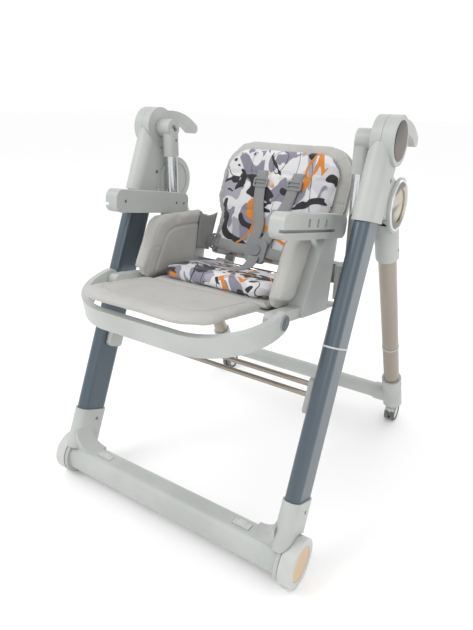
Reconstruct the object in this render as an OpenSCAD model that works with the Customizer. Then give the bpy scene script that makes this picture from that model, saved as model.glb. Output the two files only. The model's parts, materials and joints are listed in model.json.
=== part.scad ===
// Folding baby high chair with a hanging, height-adjustable reclining seat.
// Units are millimetres. +Z is up, the chair faces -Y and the floor is z = 0.
// Side parts are drawn for the +X side and mirrored for the -X side.

/* [Overall] */
// Width across the outer faces of the front wheels
track_w = 600; // [500:5:720]
// Height of the hub axis above the floor
hub_h = 747; // [630:1:900]
// Depth from the base bar axis to the rear bar axis
base_depth = 607; // [520:1:730]
// Width across the inside of the armrests
seat_w = 334; // [290:2:400]

/* [Front frame] */
// Front leg tube, size along the chair
leg_depth = 72; // [60:1:86]
// Front leg tube, size across the chair
leg_thick = 30; // [25:1:36]
// Wall of the leg tubes
leg_wall = 1.6; // [1.2:0.1:2.4]
// Depth of the base bar
bar_d = 60; // [50:1:72]
// Height of the base bar section
bar_h = 60; // [52:1:72]
// Gap below the base bar
bar_clear = 18; // [15:1:22]
// Moulding wall
wall = 3; // [2.4:0.1:3.6]
// Radius of the hub
hub_r = 43; // [37:1:50]

/* [Wheels] */
// Radius of the front wheels
wheel_r = 46; // [39:1:55]
// Width of the front wheels
wheel_w = 25; // [22:1:28]
// Radius of the caster wheels
caster_r = 23; // [20:0.5:27]

/* [Rear frame] */
// Diameter of the rear leg tubes
rear_tube_d = 38; // [32:1:42]
// Radius of the rear bar
rear_bar_r = 20; // [17:1:24]
// Height of the rear bar axis
rear_bar_h = 84; // [76:1:100]
// Radius of the fold pivot disc
pivot_disc_r = 51; // [46:1:58]

/* [Swing and seat] */
// Diameter of the swing tubes
swing_tube_d = 27; // [23:1:28]
// Tilt of the seat, front edge up
seat_tilt = 10; // [6:1:14]
// Recline of the backrest from the seat normal
back_tilt = 14.7; // [8:0.1:18]
// Length of the backrest
back_len = 292; // [250:1:350]
// Length of the armrests
arm_len = 238; // [200:1:285]
// Width of the harness webbing
strap_w = 26; // [22:1:30]
// Thickness of the printed cushions
cushion_t = 18; // [15:1:22]

/* [Footrest] */
// Depth of the footrest loop
ring_depth = 136; // [126:1:163]
// Height of the footrest band
ring_h = 38; // [32:1:44]
// Length of the calf panel
calf_len = 206; // [172:1:247]

/* [Clearances] */
// Running clearance of a bore over its pin
run_fit = 0.1; // [0.05:0.01:0.1]
// Clearance of a sliding or socketed tube
slide_fit = 0.3; // [0.2:0.05:0.5]
// Gap between neighbouring pieces
gap = 0.5; // [0.3:0.1:0.8]

/* [Hidden] */

// colours
grey = "#c9cdcb";
grey_light = "#dadddb";
grey_dark = "#8b9092";
leg_blue = "#5e6870";
taupe = "#a39a90";
chrome = "#d7d9db";
bronze = "#7a6a45";
tan_disc = "#c9ae8c";
leather = "#c8c6bf";
print_white = "#e9e9ec";
webbing = "#9a9c9a";
buckle_grey = "#7f8285";
rubber = "#4a4d50";

$fn = 64;

// lengthwise places
hub_y = 23;
bar_y = -289;
bar_z = bar_clear + bar_h / 2;
wheel_y = bar_y + 7;
rear_y = bar_y + base_depth;

// front leg: from the foot point inside the base bar up to the hub
foot_y = bar_y + 6;
foot_z = 60;
lean = atan2(hub_y - foot_y, hub_h - foot_z);
leg_len = norm([hub_y - foot_y, hub_h - foot_z]);
wheel_in = track_w / 2 - wheel_w;
bar_end = wheel_in - 1.5;
leg_x = track_w / 2 - 34;
leg_in = leg_x - leg_thick / 2;
socket_wall = 3.2;
socket_low = 8;
socket_top = 98;
socket_floor = 47;
arch_gap = 3;
end_wall = 8;
fillet_r = 44;
fillet_base = 20;

// hub and its cover
cover_wall = 5;
cover_in = leg_in - cover_wall;
cover_out = leg_x + leg_thick / 2 + cover_wall;
cover_len = 146;
cover_cut = 9.5;
hub_out = track_w / 2 - 9;
hub_mid = cover_in + 23;
cap_r = hub_r - 9;
cap_t = 4;
cap_proud = 1;
axle_r = 6;
boss_r = 19;

// fold pivot, placed beside the leg
pivot_v = 81;
pivot_w = -92;
pivot_y = hub_y + pivot_v * cos(lean) + pivot_w * sin(lean);
pivot_z = hub_h - pivot_v * sin(lean) + pivot_w * cos(lean);
lug_r = 36;
lug_t = 12;
lug_in = leg_x - lug_t / 2 + 2;
pivot_hub_r = 38;
sleeve_wall = 5;
sleeve_len = 128;
cheek_t = 4.7;
rear_lean = atan2(rear_y - pivot_y, pivot_z - rear_bar_h);
rear_len = norm([rear_y - pivot_y, pivot_z - rear_bar_h]);
corner_r = rear_tube_d / 2 + sleeve_wall;
corner_up = 74;
corner_floor = 54;
rear_pocket = 24;
disc_in = cover_out + gap;
disc_out = hub_out;
cheek_in = cover_in - gap - cheek_t;
ring_w = 6.5;

// casters
caster_w = 11;
caster_gap = 5;
caster_trail = 16;
stem_r = 5.5;
caster_y = rear_y + 4;
wheel_axle_y = caster_y + caster_trail;
brake_reach = 14;

// leg trim
joint_at = 376;
joint_h = 3;
joint_t = 1;
bracket_at = 462;
bracket_len = 66;
bracket_t = 12;
rod_r = 5;
rod_pitch = 20;
clip_x = 178;

// swing arms, tubes and seat
tube_x = seat_w / 2 + 57;
arm_block = swing_tube_d + 4;
arm_drop = 60;
tube_drop = 353;
foot_h = 43;
seat_y = 15;
seat_z = hub_h - 187;
carriage_lo = hub_h - 307;
carriage_hi = hub_h - 237;
carriage_wall = 2.8;

// seat shell, wings and cushions, in the seat frame
shell_out = seat_w / 2 + 30;
pod_in = seat_w / 2 - 4;
floor_z = -139;
floor_t = 4;
wing_in = seat_w / 2 - 20;
cushion_w = 2 * (wing_in - 9);
seat_pad_t = 14;
seat_cushion_z = floor_z + floor_t + gap + seat_pad_t + gap;
seat_cushion_t = cushion_t + 8;
seat_top = seat_cushion_z + seat_cushion_t + gap;
cushion_front = -150;
cushion_back = 29;
back_y = 35;
back_z = -85;
hinge_y = 45;
hinge_z = -100;
hinge_r = 5;
buckle_up = 28;
buckle_button_r = 12;
strap_x = 42;
back_w = seat_w + 2;
back_low_w = 2 * (wing_in + 3);
back_start = 0.5;
flare_lo = 104;
flare_hi = 146;
pad_t = 22;
shell_t = 9;

// armrests
arm_in = seat_w / 2;
arm_t = 28;
arm_h = 44;
arm_z = 5;
arm_back = 4;
groove_d = 8;
ear_t = 7;
well_d = 2.6;
arm_screws = [-16, -44, -arm_len + 26];
arm_splay = 3;

// footrest and calf panel
ring_y = -210;
ring_z = -131;
ring_slope = 18;
ring_t = 12;
ring_corner = 124;
ring_out = seat_w / 2 + 39;
ring_in = ring_out - ring_t;
ear_r = 19;
button_r = 13;
calf_t = 16;
calf_y = -166;
calf_top = -118;
calf_w = 2 * (wing_in - 1);
calf_corner = 62;

// ---- helpers ----
module sided(s) { if (s > 0) children(); else mirror([1, 0, 0]) children(); }
module both() { children(); mirror([1, 0, 0]) children(); }
module xrod(r, x0, x1) { translate([x0, 0, 0]) rotate([0, 90, 0]) cylinder(r = r, h = x1 - x0); }
// draws an outline given as (y, z) between two places along X
module slab(x0, x1) { translate([x0, 0, 0]) rotate([90, 0, 90]) linear_extrude(x1 - x0) children(); }
module rrect(w, h, r) {
    square([w - 2 * r, h], center = true);
    square([w, h - 2 * r], center = true);
    for (x = [-1, 1], y = [-1, 1]) translate([x * (w / 2 - r), y * (h / 2 - r)]) circle(r);
}
module stadium(w, t) {
    square([t, w - t], center = true);
    for (y = [-1, 1]) translate([0, y * (w - t) / 2]) circle(t / 2);
}
module leg_frame() { translate([0, hub_y, hub_h]) rotate([-lean, 0, 0]) children(); }
module rear_frame() { translate([0, pivot_y, pivot_z]) rotate([rear_lean, 0, 0]) children(); }
module seat_frame() { translate([0, seat_y, seat_z]) rotate([-seat_tilt, 0, 0]) children(); }
module back_frame() {
    seat_frame() translate([0, back_y, back_z]) rotate([-back_tilt, 0, 0]) children();
}
// the armrests spread towards the back
module arm_frame() {
    seat_frame() translate([arm_in, arm_back - arm_len, 0]) rotate([0, 0, -arm_splay])
        translate([-arm_in, arm_len - arm_back, 0]) children();
}
module ring_frame() {
    seat_frame() translate([0, ring_y, ring_z]) rotate([ring_slope, 0, 0]) children();
}
// cross-recessed screw head, sunk below a surface at x = 0 that faces +X
module screw_head(r = 4) {
    difference() {
        xrod(r, -well_d + 0.1, -0.8);
        for (a = [0, 90]) rotate([a, 0, 0]) translate([-1.6, -r * 0.6, -0.5]) cube([2, r * 1.2, 1]);
    }
}
module screw_well(r = 4) { xrod(r + 0.2, -well_d, 1); }
module facing_in() { mirror([1, 0, 0]) children(); }
// where the screws of each moulding sit
module socket_screws() {
    leg_frame() {
        translate([leg_x + leg_thick / 2 + socket_wall, 8, -leg_len + 76]) children();
        translate([leg_in - socket_wall, 8, -leg_len + 76]) facing_in() children();
    }
}
module cover_screws() {
    leg_frame() {
        translate([cover_out, 16, pivot_w + 26]) children();
        translate([cover_in, 14, -96]) facing_in() children();
    }
}
module sleeve_screws() {
    rear_frame() translate([leg_x + corner_r, 0, -sleeve_len + 22]) children();
}
module corner_screws() {
    rear_frame() translate([leg_x + corner_r, 0, -rear_len + 58]) children();
}
module arm_sleeve_screws() {
    translate([tube_x - arm_block / 2, hub_y, hub_h - 25]) facing_in() children();
}
module armrest_screw_places() {
    arm_frame() for (y = arm_screws)
        translate([arm_in, arm_back + y, arm_z + arm_h / 2]) facing_in() children();
}

// ---- base ----
module base_bar() {
    color(grey) difference() {
        union() {
            translate([0, bar_y, bar_z]) slab(-bar_end, bar_end) rrect(bar_d, bar_h, 24);
            both() {
                translate([0, wheel_y, wheel_r]) xrod(wheel_r - 1.5, bar_end - end_wall, bar_end);
                leg_frame() translate([leg_x, 0, -leg_len + socket_low])
                    linear_extrude(socket_top - socket_low)
                    stadium(leg_depth + 2 * socket_wall, leg_thick + 2 * socket_wall);
                // blend between the bar and the socket
                translate([leg_in - socket_wall - fillet_r, bar_y + 5,
                    bar_z + bar_h / 2 - fillet_base]) rotate([90, 0, 0]) translate([0, 0, -20])
                        linear_extrude(40) difference() {
                            square([fillet_r + 6, fillet_r + fillet_base - 3]);
                            translate([0, fillet_r + fillet_base - 1]) circle(fillet_r);
                        }
            }
        }
        // the moulding is open below
        translate([0, bar_y, bar_z - wall]) slab(-bar_end + end_wall, bar_end - end_wall)
            rrect(bar_d - 2 * wall, bar_h, 21);
        both() {
            leg_frame() translate([leg_x, 0, -leg_len + socket_floor]) linear_extrude(100)
                stadium(leg_depth + 2 * slide_fit, leg_thick + 2 * slide_fit);
            translate([0, wheel_y, wheel_r]) {
                xrod(wheel_r + arch_gap, bar_end, bar_end + 60);
                xrod(stem_r + 0.05, bar_end - 30, bar_end + 1);
            }
            translate([clip_x - 19, bar_y - 8, bar_clear + bar_h - 1.5]) cube([38, 16, 4]);
            socket_screws() screw_well();
        }
    }
}
module front_leg(s) {
    color(leg_blue) sided(s) leg_frame() translate([leg_x, 0, -leg_len + socket_floor + gap])
        linear_extrude(leg_len - socket_floor - gap - hub_r - 8) difference() {
            stadium(leg_depth, leg_thick);
            stadium(leg_depth - 2 * leg_wall, leg_thick - 2 * leg_wall);
        }
}
module hub_housing(s) {
    color(grey) sided(s) difference() {
        union() {
            translate([0, hub_y, hub_h]) xrod(hub_r, hub_mid + gap, hub_out);
            leg_frame() {
                translate([leg_x, 0, -cover_len - 10]) linear_extrude(cover_len - 2)
                    stadium(leg_depth + 2 * cover_wall, leg_thick + 2 * cover_wall);
                translate([0, pivot_v - 56, pivot_w - lug_r]) {
                    slab(cover_in, cover_out) square([26, 2 * lug_r]);
                    slab(lug_in, lug_in + lug_t) square([56, 2 * lug_r]);
                }
                translate([0, pivot_v, pivot_w]) xrod(lug_r, lug_in, lug_in + lug_t);
            }
        }
        leg_frame() {
            translate([leg_x, 0, -cover_len - 11]) linear_extrude(cover_len + 5 - hub_r)
                stadium(leg_depth + 2 * slide_fit, leg_thick + 2 * slide_fit);
            translate([leg_x, 0, -cover_len]) rotate([cover_cut, 0, 0])
                translate([-40, -60, -40]) cube([80, 120, 40]);
            // room for the cheeks of the rear sleeve
            translate([0, pivot_v, pivot_w]) {
                xrod(pivot_hub_r + 2, cover_in - 1, lug_in);
                xrod(pivot_hub_r + 2, lug_in + lug_t, track_w);
                xrod(axle_r + 0.05, cover_in - 1, track_w);
            }
        }
        cover_screws() screw_well();
        translate([0, hub_y, hub_h]) {
            xrod(hub_r + 1, cover_in - 5, hub_mid + gap);
            xrod(cap_r + gap / 2, hub_out - cap_t + cap_proud, hub_out + 1);
            xrod(axle_r + 0.05, hub_mid - 1, hub_out - 10);
        }
    }
}
module hub_caps() {
    color(bronze) both() translate([0, hub_y, hub_h])
        xrod(cap_r, hub_out - cap_t + cap_proud, hub_out + cap_proud);
}
module leg_rings() {
    color(grey_light) both() leg_frame() translate([leg_x, 0, -joint_at]) linear_extrude(joint_h)
        difference() {
            stadium(leg_depth + 2 * joint_t, leg_thick + 2 * joint_t);
            stadium(leg_depth, leg_thick);
        }
}
module leg_brackets() {
    color(grey) both() leg_frame() difference() {
        slab(leg_in - bracket_t, leg_in) translate([4, -bracket_at - 8]) rrect(38, bracket_len, 8);
        translate([0, 12, -bracket_at]) for (k = [-1, 1])
            translate([0, 0, k * rod_pitch / 2]) xrod(rod_r + 0.1, leg_in - bracket_t - 1, leg_in - 3);
    }
}
module cross_rods() {
    color(taupe) leg_frame() translate([0, 12, -bracket_at]) for (k = [-1, 1])
        translate([0, 0, k * rod_pitch / 2]) xrod(rod_r, -leg_in + 3, leg_in - 3);
}
module bar_clips() {
    color(grey_light) both() translate([clip_x, bar_y, bar_clear + bar_h - 1.5])
        rotate([90, 0, 0]) translate([0, 0, -7]) linear_extrude(14) difference() {
            union() {
                translate([-18, 0]) square([36, 2.5]);
                translate([0, -11]) circle(17);
            }
            translate([-18, -40]) square([36, 40]);
        }
}
module axle_pins() {
    color(chrome) both() {
        translate([0, wheel_y, wheel_r]) xrod(stem_r, bar_end - 26, wheel_in + wheel_w - 12);
        translate([0, hub_y, hub_h]) xrod(axle_r, tube_x - 2, hub_out - 10);
        translate([0, pivot_y, pivot_z]) xrod(axle_r, cheek_in + 3, disc_out - 4);
    }
}
module base_screws() {
    color(grey_dark) both() {
        socket_screws() screw_head();
        cover_screws() screw_head();
    }
}

// ---- rear frame ----
module rear_sleeve(s) {
    color(grey) sided(s) difference() {
        rear_frame() {
            xrod(pivot_hub_r, cheek_in, disc_in + 1);
            xrod(pivot_disc_r, cheek_in, cheek_in + cheek_t);
            xrod(pivot_disc_r, disc_in, disc_out);
            translate([leg_x, 0, -sleeve_len]) cylinder(r = corner_r, h = sleeve_len);
        }
        rear_frame() {
            xrod(lug_r + 5, lug_in - gap, lug_in + lug_t + gap);
            xrod(axle_r + run_fit, cheek_in + 3 - gap, disc_out - 3.5);
            xrod(pivot_disc_r - 13, cheek_in - 1, cheek_in + 1.5);
            xrod(pivot_disc_r - ring_w + gap / 2, disc_out - 2.5, disc_out + 1);
            translate([leg_x, 0, -sleeve_len - 1]) cylinder(d = rear_tube_d + 0.2, h = sleeve_len - 60);
        }
        sleeve_screws() screw_well(3.5);
    }
}
module rear_legs() {
    color(taupe) both() rear_frame() translate([leg_x, 0, -rear_len + rear_pocket]) difference() {
        cylinder(d = rear_tube_d, h = rear_len - rear_pocket - 63);
        translate([0, 0, -1]) cylinder(d = rear_tube_d - 2 * leg_wall, h = rear_len);
    }
}
module rear_rings() {
    color(grey_light) both() rear_frame() translate([leg_x, 0, -rear_len + 196]) difference() {
        cylinder(d = rear_tube_d + 2 * joint_t, h = joint_h);
        translate([0, 0, -1]) cylinder(d = rear_tube_d, h = joint_h + 2);
    }
}
module rear_bar() {
    color(grey) translate([0, rear_y, rear_bar_h]) difference() {
        xrod(rear_bar_r, -leg_x + corner_r - 4, leg_x - corner_r + 4);
        xrod(rear_bar_r - 2, -leg_x, leg_x);
    }
}
module rear_corners() {
    color(grey) both() difference() {
        union() {
            rear_frame() translate([leg_x, 0, -rear_len - 40]) cylinder(r = corner_r, h = corner_up + 40);
            translate([0, rear_y, rear_bar_h]) xrod(rear_bar_r + 3, leg_x - corner_r - 22, leg_x);
            translate([leg_x, caster_y, corner_floor]) cylinder(r = corner_r - 3, h = 22);
        }
        rear_frame() translate([leg_x, 0, -rear_len + rear_pocket - 2])
            cylinder(d = rear_tube_d + 0.2, h = 100);
        translate([0, rear_y, rear_bar_h]) xrod(rear_bar_r + 0.1, 0, leg_x - corner_r + 4.5);
        translate([leg_x - 60, rear_y - 60, corner_floor - 60]) cube([120, 140, 60]);
        translate([leg_x, caster_y, corner_floor - 1]) cylinder(r = stem_r + run_fit, h = 19);
        corner_screws() screw_well(3.5);
    }
}
module pivot_caps() {
    color(chrome) both() translate([0, pivot_y, pivot_z]) {
        difference() {
            xrod(pivot_disc_r - ring_w, disc_out - 2.5, disc_out + 1.5);
            xrod(pivot_disc_r - ring_w - 13, disc_out - 0.5, disc_out + 2);
        }
    }
}
module rear_screws() {
    color(grey_dark) both() {
        sleeve_screws() screw_head(3.5);
        corner_screws() screw_head(3.5);
    }
}

// ---- casters ----
module caster_fork(s) {
    color(grey_light) sided(s) translate([leg_x, caster_y, 0]) difference() {
        union() {
            translate([0, 0, corner_floor - 2]) cylinder(r = stem_r, h = 17);
            translate([0, 0, 2 * caster_r + 1.5]) cylinder(r = 11, h = corner_floor - 2 * caster_r - 2);
            slab(-caster_gap / 2, caster_gap / 2) {
                translate([caster_trail, caster_r]) circle(14);
                translate([0, caster_r + 2]) square([caster_trail, 16]);
                translate([-11, caster_r + 11]) square([24, 9]);
            }
            // hood over the wheels
            intersection() {
                slab(-caster_gap / 2 - caster_w + 1, caster_gap / 2 + caster_w - 1) difference() {
                    translate([caster_trail, caster_r]) circle(caster_r + 5);
                    translate([caster_trail, caster_r]) circle(caster_r + 1.5);
                }
                translate([-40, -14, caster_r + 12]) cube([80, 38, 40]);
            }
        }
        translate([0, caster_trail, caster_r]) xrod(3.2, -20, 20);
    }
}
module caster_wheels(s) {
    color(rubber) sided(s) translate([leg_x, wheel_axle_y, caster_r]) {
        xrod(3, -caster_gap / 2 - caster_w + 1, caster_gap / 2 + caster_w - 1);
        for (k = [0, 1]) mirror([k, 0, 0]) difference() {
            xrod(caster_r, caster_gap / 2 + gap, caster_gap / 2 + caster_w);
            xrod(caster_r - 4, caster_gap / 2 + caster_w - 1.5, caster_gap / 2 + caster_w + 1);
        }
    }
}
module brake_lever(s) {
    color(grey_light) sided(s) translate([leg_x, wheel_axle_y, caster_r]) {
        slab(-8, 8) difference() {
            circle(caster_r + 8.5);
            circle(caster_r + 5.5);
            translate([-60, -60]) square([60 + caster_r - 9, 120]);
            translate([-60, -60]) square([120, 66]);
        }
        translate([-8, caster_r + 4, 7]) cube([16, brake_reach - 4, 3.5]);
    }
}

// ---- front wheels ----
module front_wheel(s) {
    color(grey_light) sided(s) translate([0, wheel_y, wheel_r]) difference() {
        xrod(wheel_r, wheel_in, wheel_in + wheel_w);
        xrod(wheel_r - 12.7, wheel_in + wheel_w - 3, wheel_in + wheel_w + 1);
        xrod(stem_r + run_fit, wheel_in - 1, wheel_in + wheel_w - 10);
    }
}
module wheel_disc(s) {
    color(tan_disc) sided(s) translate([0, wheel_y, wheel_r])
        xrod(wheel_r - 13, wheel_in + wheel_w - 3, wheel_in + wheel_w - 0.4);
}

// ---- release handles: a disc in the hub and a curved grip behind it ----
module release_handle(s) {
    grip_c = [38, -127];
    grip_r = 151;
    grip_h = 22;
    grip_end = 52;
    grip_in = leg_x - 10;
    color(grey) sided(s) translate([0, hub_y, hub_h]) difference() {
        union() {
            xrod(hub_r, cover_in + 4, hub_mid);
            slab(grip_in, grip_in + 26) difference() {
                union() {
                    intersection() {
                        translate(grip_c) grip_band(grip_r, grip_h);
                        translate(grip_c) polygon([[0, 0], [-20, 200], [200, 200],
                            300 * [cos(grip_end), sin(grip_end)]]);
                    }
                    translate(grip_c + grip_r * [cos(grip_end), sin(grip_end)]) circle(grip_h / 2);
                }
                circle(hub_r + 1);
            }
            slab(grip_in, hub_mid) intersection() {
                translate(grip_c) grip_band(grip_r, grip_h);
                translate([0, -20]) square([hub_r + 12, 120]);
                circle(hub_r + 12);
            }
        }
        xrod(axle_r + run_fit, cover_in - 2, hub_mid + 1);
    }
}
module grip_band(r, h) {
    difference() {
        circle(r + h / 2);
        circle(r - h / 2);
    }
}

// ---- swing arms and tubes ----
module swing_arm(s) {
    color(grey) sided(s) translate([0, hub_y, hub_h]) difference() {
        union() {
            xrod(boss_r, tube_x - 10, cover_in + 3.2);
            translate([tube_x, 0, -arm_drop]) linear_extrude(arm_drop)
                rrect(arm_block, arm_block, 12);
        }
        xrod(axle_r + run_fit, tube_x - 2 - gap, cover_in + 9);
        translate([tube_x, 0, -arm_drop - 1]) cylinder(d = swing_tube_d + 0.1, h = 29);
        translate([tube_x - 10, 0, 0]) xrod(7, -20, 3);
        translate([0, -hub_y, -hub_h]) arm_sleeve_screws() screw_well(3);
    }
}
module swing_tubes() {
    color(chrome) both() translate([tube_x, hub_y, hub_h - tube_drop + 6]) difference() {
        cylinder(d = swing_tube_d, h = tube_drop - arm_drop + 21);
        translate([0, 0, -1]) cylinder(d = swing_tube_d - 2 * leg_wall, h = tube_drop);
    }
}
module tube_feet() {
    color(grey) both() translate([tube_x, hub_y, hub_h - tube_drop]) difference() {
        linear_extrude(foot_h) rrect(swing_tube_d + 4, swing_tube_d + 10, 6);
        translate([0, 0, 6]) cylinder(d = swing_tube_d + 0.1, h = foot_h);
    }
}
module swing_screws() {
    color(grey_dark) both() translate([0, hub_y, hub_h]) {
        translate([tube_x - 9.6, 0, 0]) difference() {
            xrod(6, 0, 2.5);
            xrod(3, -1, 1.6);
        }
    }
    color(grey_dark) both() arm_sleeve_screws() screw_head(3);
}

// ---- seat shell ----
pod_line = [[-66, arm_z - gap], [-80, -20], [-97, -62], [-113, -100], [-125, -129], [-120, floor_z],
    [-9, floor_z], [-9, -60], [-16, arm_z - gap]];
module seat_shell() {
    color(grey) seat_frame() difference() {
        union() {
            // side pods
            both() {
                slab(pod_in, shell_out) polygon(pod_line);
                slab(pod_in, pod_in + ear_t) translate([-12, floor_z])
                    square([74, arm_z - gap - floor_z]);
                // arms that carry the footrest hinge
                slab(arm_in + 4, ring_in - gap) {
                    translate([ring_y, ring_z]) circle(12);
                    translate([ring_y, ring_z - 8]) square([100, 20]);
                }
                // pins that the footrest turns on
                translate([0, ring_y, ring_z]) xrod(5, arm_in + 4, ring_in + 3);
            }
            // floor pan
            translate([-shell_out + 3, calf_y + 10, floor_z]) cube([2 * shell_out - 6, 216, floor_t]);
        }
        both() {
            // the pods are open towards the wings
            slab(pod_in - 1, shell_out - wall) polygon([[-64, 3], [-92, -60], [-117, -123],
                [-14, -131], [-14, -50], [-20, 3]]);
            translate([0, hinge_y, hinge_z]) xrod(hinge_r + 0.05, 0, shell_out);
        }
    }
}
module carriages() {
    color(grey) both() difference() {
        union() {
            translate([tube_x, hub_y, carriage_lo]) linear_extrude(carriage_hi - carriage_lo)
                rrect(swing_tube_d + 2 * carriage_wall, swing_tube_d + 12, 6);
            translate([shell_out + gap, hub_y - 16, carriage_lo])
                cube([tube_x - shell_out - gap, 32, carriage_hi - carriage_lo]);
            translate([pod_in + ear_t + gap, hub_y + 2, carriage_lo + 27])
                cube([tube_x - pod_in - ear_t - gap, 20, 40]);
        }
        translate([tube_x, hub_y, carriage_lo - 1])
            cylinder(d = swing_tube_d + 2 * slide_fit, h = carriage_hi - carriage_lo + 2);
    }
}

// ---- armrests ----
module armrest(s) {
    color(grey) sided(s) arm_frame() difference() {
        slab(arm_in, arm_in + arm_t) translate([arm_back - arm_len / 2, arm_z + arm_h / 2])
            rrect(arm_len, arm_h, 16);
        // open towards the inner plate's seam
        slab(arm_in + wall, arm_in + arm_t - groove_d - wall)
            translate([arm_back - arm_len / 2, arm_z + arm_h / 2])
                rrect(arm_len - 2 * wall, arm_h - 2 * wall, 13);
        // tray guide: slot open to the front, with three stops above it
        slab(arm_in + arm_t - groove_d, arm_in + arm_t + 1) {
            translate([arm_back - arm_len - 1, arm_z + 12]) square([arm_len - 48, 5]);
            for (k = [0 : 2]) translate([arm_back - 92 - 32 * k, arm_z + 21]) square([7, 14]);
        }
        for (y = arm_screws) translate([arm_in, arm_back + y, arm_z + arm_h / 2]) facing_in() screw_well(3);
    }
}
module armrest_screws() {
    color(grey_dark) both() armrest_screw_places() screw_head(3);
}
// ---- seat soft parts and harness ----
wing_line = [[-174, -108], [-164, -76], [-154, -52], [-147, -30], [-136, -8], [-118, 6], [-98, 12],
    [-40, 19], [24, 22], [16, -60], [2, -132], [-150, -132], [-168, -124]];
module wing(s) {
    front = [[-174, -108], [-164, -76], [-154, -52], [-147, -30], [-136, -8], [-118, 3], [-78, 3],
        [-94, -43], [-109, -75], [-124, -106], [-146, -114]];
    color(leather) sided(s) seat_frame() {
        slab(wing_in, pod_in - gap) polygon(wing_line);
        slab(pod_in - gap - 1, pod_in + 16) polygon(front);
    }
}
module seat_pad() {
    color(leather) seat_frame() translate([-wing_in + gap, calf_y + 9, floor_z + floor_t + gap])
        cube([2 * wing_in - 2 * gap, 190, seat_pad_t]);
}
module seat_cushion() {
    color(print_white) seat_frame() translate([0, (cushion_front + cushion_back) / 2, seat_cushion_z])
        linear_extrude(seat_cushion_t) rrect(cushion_w, cushion_back - cushion_front, 44);
}
module waist_straps() {
    color(webbing) {
        back_frame() both() translate([28, -4, buckle_up - strap_w / 2]) cube([94, 2, strap_w]);
        seat_frame() translate([-strap_w / 2, -104, seat_top]) cube([strap_w, 98, 2]);
    }
}
module buckle_frame() {
    back_frame() translate([0, -4, buckle_up]) rotate([90, 0, 0]) children();
}
module buckle() {
    color(buckle_grey) buckle_frame() difference() {
        linear_extrude(14) rrect(50, 54, 14);
        translate([0, 0, 9]) cylinder(r = buckle_button_r + gap, h = 8);
    }
}
module buckle_button() {
    color(grey_dark) buckle_frame() translate([0, 0, 12]) cylinder(r = buckle_button_r, h = 4);
}
module recline_pivot() {
    color(chrome) seat_frame() translate([0, hinge_y, hinge_z]) {
        xrod(hinge_r, -pod_in - ear_t, pod_in + ear_t);
        both() xrod(9, pod_in + ear_t, pod_in + ear_t + 3);
    }
}

// ---- backrest ----
// an upright plate in the backrest frame, wider above the wings, with rounded top corners
module back_plate(w, low_w, z0, z1, r, y0, y1) {
    half = w / 2;
    low = low_w / 2;
    translate([0, y1, z0]) rotate([90, 0, 0]) linear_extrude(y1 - y0) {
        polygon([[-low, 0], [low, 0], [low, flare_lo - z0], [half, flare_hi - z0],
            [half, z1 - z0 - r], [-half, z1 - z0 - r], [-half, flare_hi - z0], [-low, flare_lo - z0]]);
        translate([-half + r, z1 - z0 - r - 10]) square([w - 2 * r, r + 10]);
        for (x = [-1, 1]) translate([x * (half - r), z1 - z0 - r]) circle(r);
    }
}
module back_shell() {
    y0 = cushion_t + pad_t;
    dy = hinge_y - back_y;
    dz = hinge_z - back_z;
    // the hinge axis as the backrest frame sees it
    lug_at = [dy * cos(back_tilt) - dz * sin(back_tilt), dy * sin(back_tilt) + dz * cos(back_tilt)];
    color(grey) {
        back_frame() back_plate(back_w - 12, back_low_w - 8, 14, back_len - 6, 70, y0, y0 + shell_t);
        // hinge lugs
        for (x = [-110, 86]) back_frame() slab(x, x + 24) difference() {
            union() {
                translate(lug_at) circle(11);
                polygon([lug_at + [0, 8], [y0 + 1, -2], [y0 + 1, 40], [y0 + shell_t - 1, 40],
                    [y0 + shell_t - 1, -4], lug_at - [0, 8]]);
            }
            translate(lug_at) circle(hinge_r + run_fit);
        }
    }
}
module back_pad() {
    color(leather) back_frame() back_plate(back_w, back_low_w, back_start, back_len, 76,
        cushion_t + gap / 2, cushion_t + pad_t - gap / 2);
}
module back_cushion() {
    color(print_white) back_frame() back_plate(back_w - 36, back_low_w - 36, back_start, back_len - 22,
        62, 0, cushion_t);
}
module shoulder_straps() {
    color(webbing) back_frame() both() translate([strap_x - strap_w / 2, -3, 58])
        cube([strap_w, 2, 152]);
}
module strap_sliders() {
    color(buckle_grey) back_frame() both() translate([strap_x, -3.5, 178])
        rotate([90, 0, 0]) linear_extrude(5) difference() {
            rrect(strap_w + 10, 24, 4);
            for (k = [-1, 1]) translate([0, k * 5.5]) square([strap_w, 4], center = true);
        }
}

// ---- footrest and calf panel ----
// a plate in plan that is straight at y = 0 and has round corners at its front
module front_plan(w, d, r) {
    translate([-w / 2, -d + r]) square([w, d - r]);
    translate([-w / 2 + r, -d]) square([w - 2 * r, r]);
    intersection() {
        for (x = [-1, 1]) translate([x * (w / 2 - r), -d + r]) circle(r);
        translate([-w / 2, -d]) square([w, d]);
    }
}
module calf_panel() {
    color(leather) seat_frame() {
        translate([0, calf_y, calf_top - calf_t]) linear_extrude(calf_t)
            front_plan(calf_w, calf_len, calf_corner);
        // rounded edge that the panel folds on
        translate([0, calf_y, calf_top - calf_t / 2]) xrod(calf_t / 2 - 0.5, -calf_w / 2 + 4, calf_w / 2 - 4);
    }
}
module footrest_ring() {
    color(grey) ring_frame() difference() {
        union() {
            translate([0, 0, -ring_h / 2]) linear_extrude(ring_h) difference() {
                front_plan(2 * ring_out, ring_depth, ring_corner);
                translate([0, 1, 0]) front_plan(2 * ring_in, ring_depth - ring_t + 1, ring_corner - ring_t);
            }
            both() xrod(ear_r, ring_in, ring_out);
        }
        both() xrod(button_r + 0.4, ring_out - 6, ring_out + 1);
        both() xrod(5.3, ring_in - 1, ring_out);
    }
}
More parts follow.
